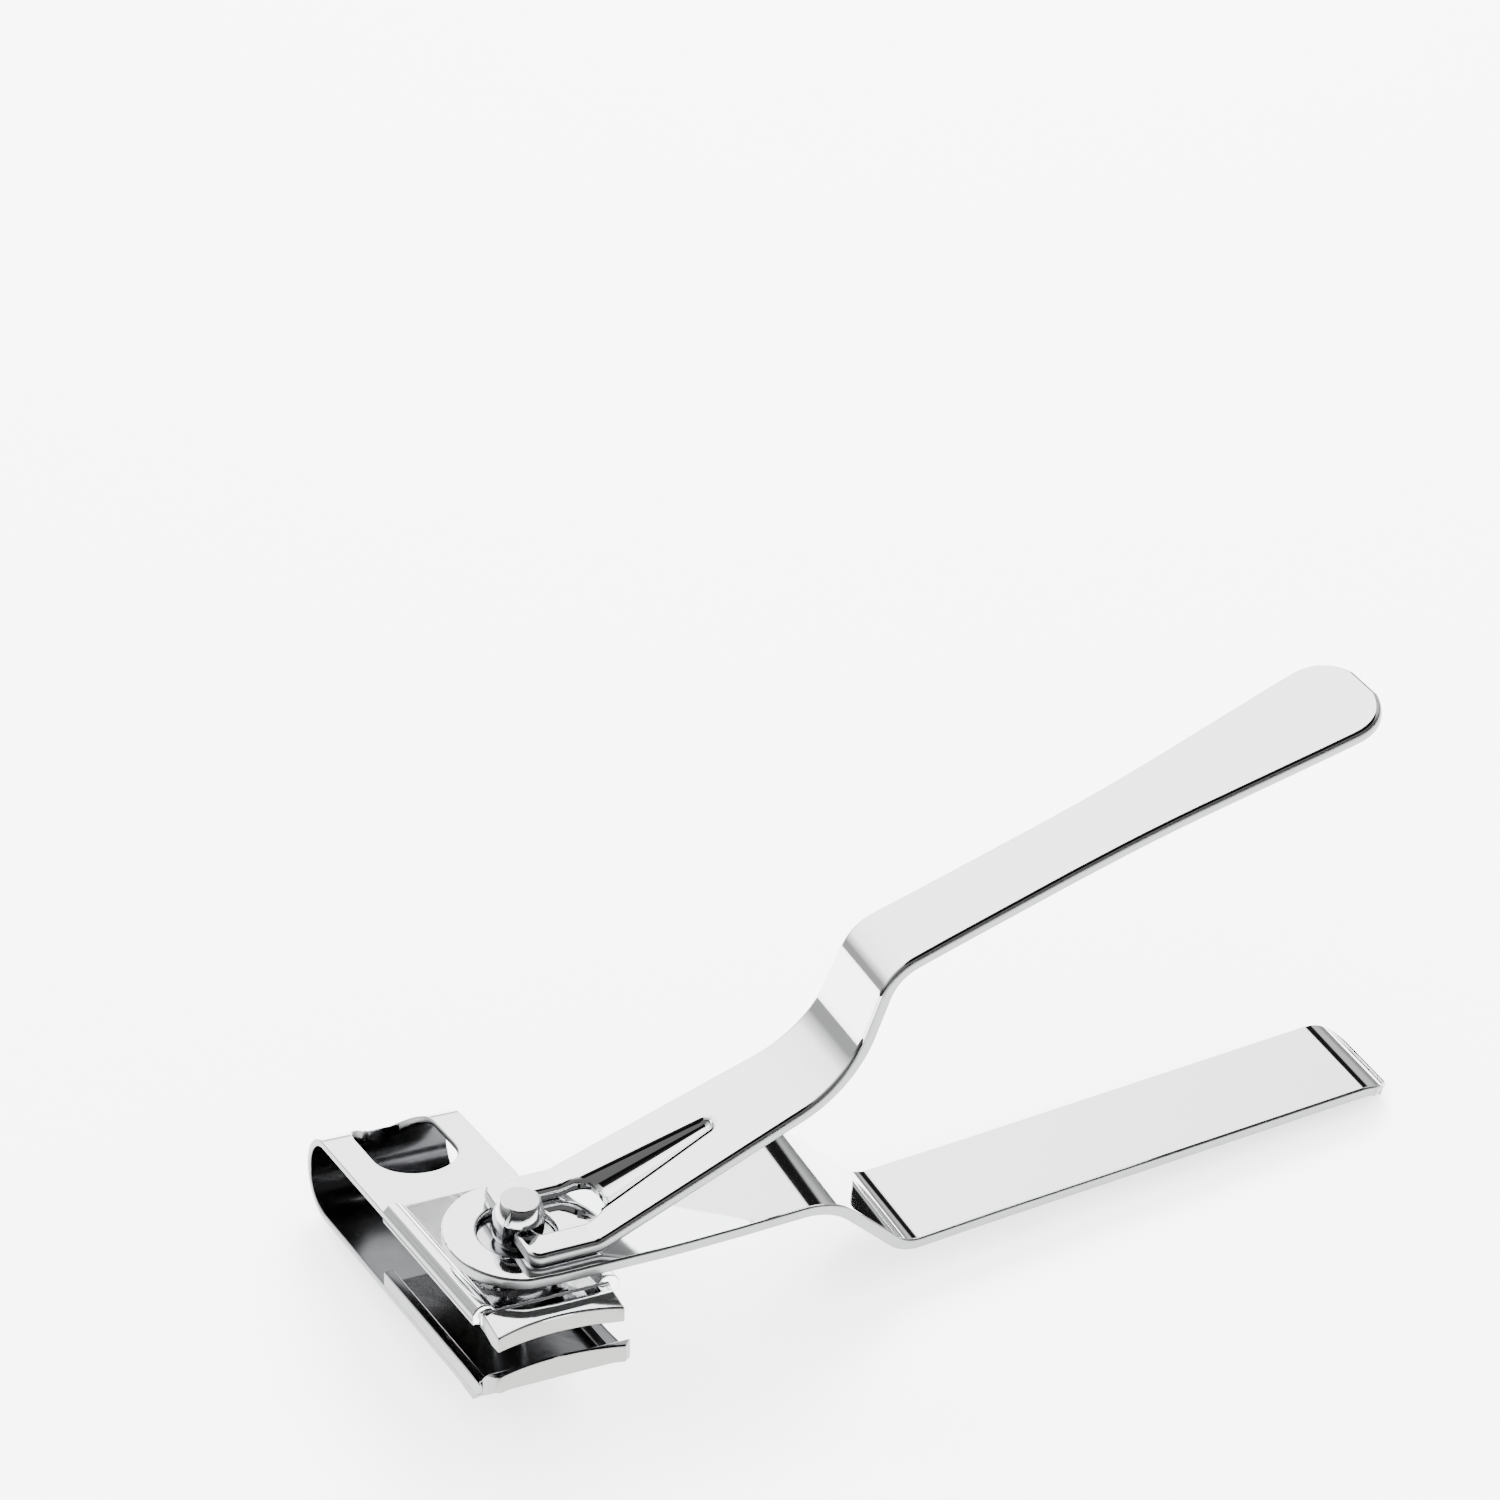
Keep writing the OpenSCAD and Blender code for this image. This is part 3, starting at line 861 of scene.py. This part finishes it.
class CLIPPER_OT_stage(bpy.types.Operator):
    """Stage: a pale table that the clipper rests on, soft studio light and the camera"""

    bl_idname = "clipper.stage"
    bl_label = "Stage, light and camera"

    def execute(self, context):
        self.set_table(context)
        self.set_light(context)
        self.set_camera(context)
        return {"FINISHED"}

    def set_table(self, context):
        # The clipper lies on its bend's corner nearest to the handle and on the tip of its handle
        (_, _, floor_z), (corner_x, _, _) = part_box("lower_jaw")
        bend = Vector((corner_x, 0, floor_z))
        past_head = 20 * MM
        grip = [v.co for v in bpy.data.objects["handle_strip"].data.vertices if v.co.x > past_head]
        slope = min(math.atan2(spot.z - bend.z, spot.x - bend.x) for spot in grip)
        deselect()
        table_size = 3
        bpy.ops.mesh.primitive_plane_add(size=table_size)
        table = named("table")
        edit(table)
        bpy.ops.mesh.select_all(action="SELECT")
        bpy.ops.mesh.subdivide(number_cuts=4)
        leave()
        place(table, (0, -slope, 0), bend)
        finish(table, table_top(context.scene.clipper_colours))

    def set_light(self, context):
        world = bpy.data.worlds.new("Studio")
        world.use_nodes = True
        context.scene.world = world
        tree = world.node_tree
        tree.nodes.clear()
        way = add_node(tree, "ShaderNodeTexCoord")
        split = add_node(tree, "ShaderNodeSeparateXYZ", None, {"Vector": way.outputs["Generated"]})
        aside = add_node(
            tree, "ShaderNodeMath", {"operation": "ARCTAN2"},
            {0: split.outputs["X"], 1: split.outputs["Y"]},
        )
        height = add_node(tree, "ShaderNodeMath", {"operation": "ARCSINE"}, {0: split.outputs["Z"]})
        # A large softbox behind the clipper. Its right side has a black frame, with a grey wall past it.
        # The ceiling and the side of the room where the camera stands are black.
        black, wall = 0.003, 0.2
        round_room = self.add_ramp(tree, aside, 180, (
            (-180, 0.04), (-115, 0.04), (-75, 0.25), (-50, 0.85), (-15, 1.0), (20, 1.0), (36.4, 0.8),
            (36.8, black), (46, black), (46.4, wall), (80, 0.16), (110, 0.04), (180, 0.04),
        ))
        floor_to_ceiling = self.add_ramp(tree, height, 90, (
            (-90, 0.12), (4, 0.14), (12, 0.5), (18, 0.9), (35, 1.0), (60, 0.95), (61.5, 0.012), (90, 0.01),
        ))
        seen = add_node(
            tree, "ShaderNodeMath", {"operation": "MULTIPLY"}, {0: round_room, 1: floor_to_ceiling}
        )
        studio = add_node(tree, "ShaderNodeBackground", {"Strength": 4.6}, {"Color": seen.outputs[0]})
        # Matt surfaces are lit evenly from all round, as in a light tent
        tent = add_node(tree, "ShaderNodeBackground", {"Strength": 10.0})
        path = add_node(tree, "ShaderNodeLightPath")
        both = add_node(
            tree, "ShaderNodeMixShader", None,
            {0: path.outputs["Is Diffuse Ray"], 1: studio.outputs[0], 2: tent.outputs[0]},
        )
        add_node(tree, "ShaderNodeOutputWorld", None, {"Surface": both.outputs[0]})
        # A lamp in the softbox gives the table its faint shadows. The metal reflects the softbox instead.
        spot, aim, watts, size = Vector((0.24, 0.42, 0.57)), Vector((0.03, 0, 0)), 12, 0.35
        deselect()
        bpy.ops.object.light_add(type="AREA", location=spot)
        lamp = named("Softbox lamp")
        lamp.data.energy = watts
        lamp.data.size = size
        lamp.visible_glossy = False
        lamp.rotation_euler = (aim - spot).to_track_quat("-Z", "Y").to_euler()

    def add_ramp(self, tree, source, most, stops):
        """Brightness over an angle from -most to most degrees, given as (degrees, brightness) stops."""
        along = add_node(
            tree, "ShaderNodeMapRange", {"From Min": -math.radians(most), "From Max": math.radians(most)},
            {"Value": source.outputs[0]},
        )
        ramp = add_node(tree, "ShaderNodeValToRGB", None, {"Fac": along.outputs["Result"]})
        elements = ramp.color_ramp.elements
        while len(elements) > 1:
            elements.remove(elements[-1])
        for i, (degrees, bright) in enumerate(stops):
            spot = (degrees + most) / (2 * most)
            stop = elements[0] if i == 0 else elements.new(spot)
            stop.position, stop.color = spot, (bright, bright, bright, 1)
        return ramp.outputs["Color"]

    def set_camera(self, context):
        azimuth, elevation, roll = math.radians(-31.25), math.radians(32.63), math.radians(7.56)
        distance, lens_ratio = 401 * MM, 2.673333
        aside, below = -0.0580249, -0.1197880  # where the swivel's top falls, as shares of the distance
        right = Vector((math.cos(azimuth), math.sin(azimuth), 0))
        back = Vector((math.sin(azimuth), -math.cos(azimuth), math.tan(elevation))).normalized()
        up = back.cross(right)
        turned_right = right * math.cos(roll) + up * math.sin(roll)
        turned_up = up * math.cos(roll) - right * math.sin(roll)
        target = Vector((0, 0, DECK))
        spot = target - (turned_right * aside + turned_up * below - back) * distance
        deselect()
        bpy.ops.object.camera_add()
        camera = named("Camera")
        camera.matrix_world = Matrix((
            (turned_right.x, turned_up.x, back.x, spot.x),
            (turned_right.y, turned_up.y, back.y, spot.y),
            (turned_right.z, turned_up.z, back.z, spot.z),
            (0, 0, 0, 1),
        ))
        camera.data.sensor_width = 36
        camera.data.lens = 36 * lens_ratio
        camera.data.clip_start = 0.01
        context.scene.camera = camera


STEPS = (
    CLIPPER_OT_handle, CLIPPER_OT_lever, CLIPPER_OT_head,
    CLIPPER_OT_post, CLIPPER_OT_ring, CLIPPER_OT_stage,
)


class CLIPPER_PT_panel(bpy.types.Panel):
    """Buttons for the clipper's pieces and stage"""

    bl_idname = "CLIPPER_PT_panel"
    bl_label = "Nail Clipper"
    bl_space_type = "VIEW_3D"
    bl_region_type = "UI"
    bl_category = "Nail Clipper"

    def draw(self, context):
        layout = self.layout
        for step in STEPS:
            layout.operator(step.bl_idname)
        for name in GROUPS:
            group = getattr(context.scene, name)
            for key in group.__annotations__:
                layout.prop(group, key)


GROUPS = {"clipper_handle": HandleSizes, "clipper_head": HeadSizes, "clipper_colours": FinishColours}


def register():
    for item in (*GROUPS.values(), *STEPS, CLIPPER_PT_panel):
        bpy.utils.register_class(item)
    for key, group in GROUPS.items():
        setattr(bpy.types.Scene, key, bpy.props.PointerProperty(type=group))


def unregister():
    for key in GROUPS:
        delattr(bpy.types.Scene, key)
    for item in (CLIPPER_PT_panel, *reversed(STEPS), *reversed(tuple(GROUPS.values()))):
        bpy.utils.unregister_class(item)


def main():
    register()
    for step in STEPS:
        group, call = step.bl_idname.split(".")
        getattr(getattr(bpy.ops, group), call)()
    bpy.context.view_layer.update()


if __name__ == "__main__":
    main()
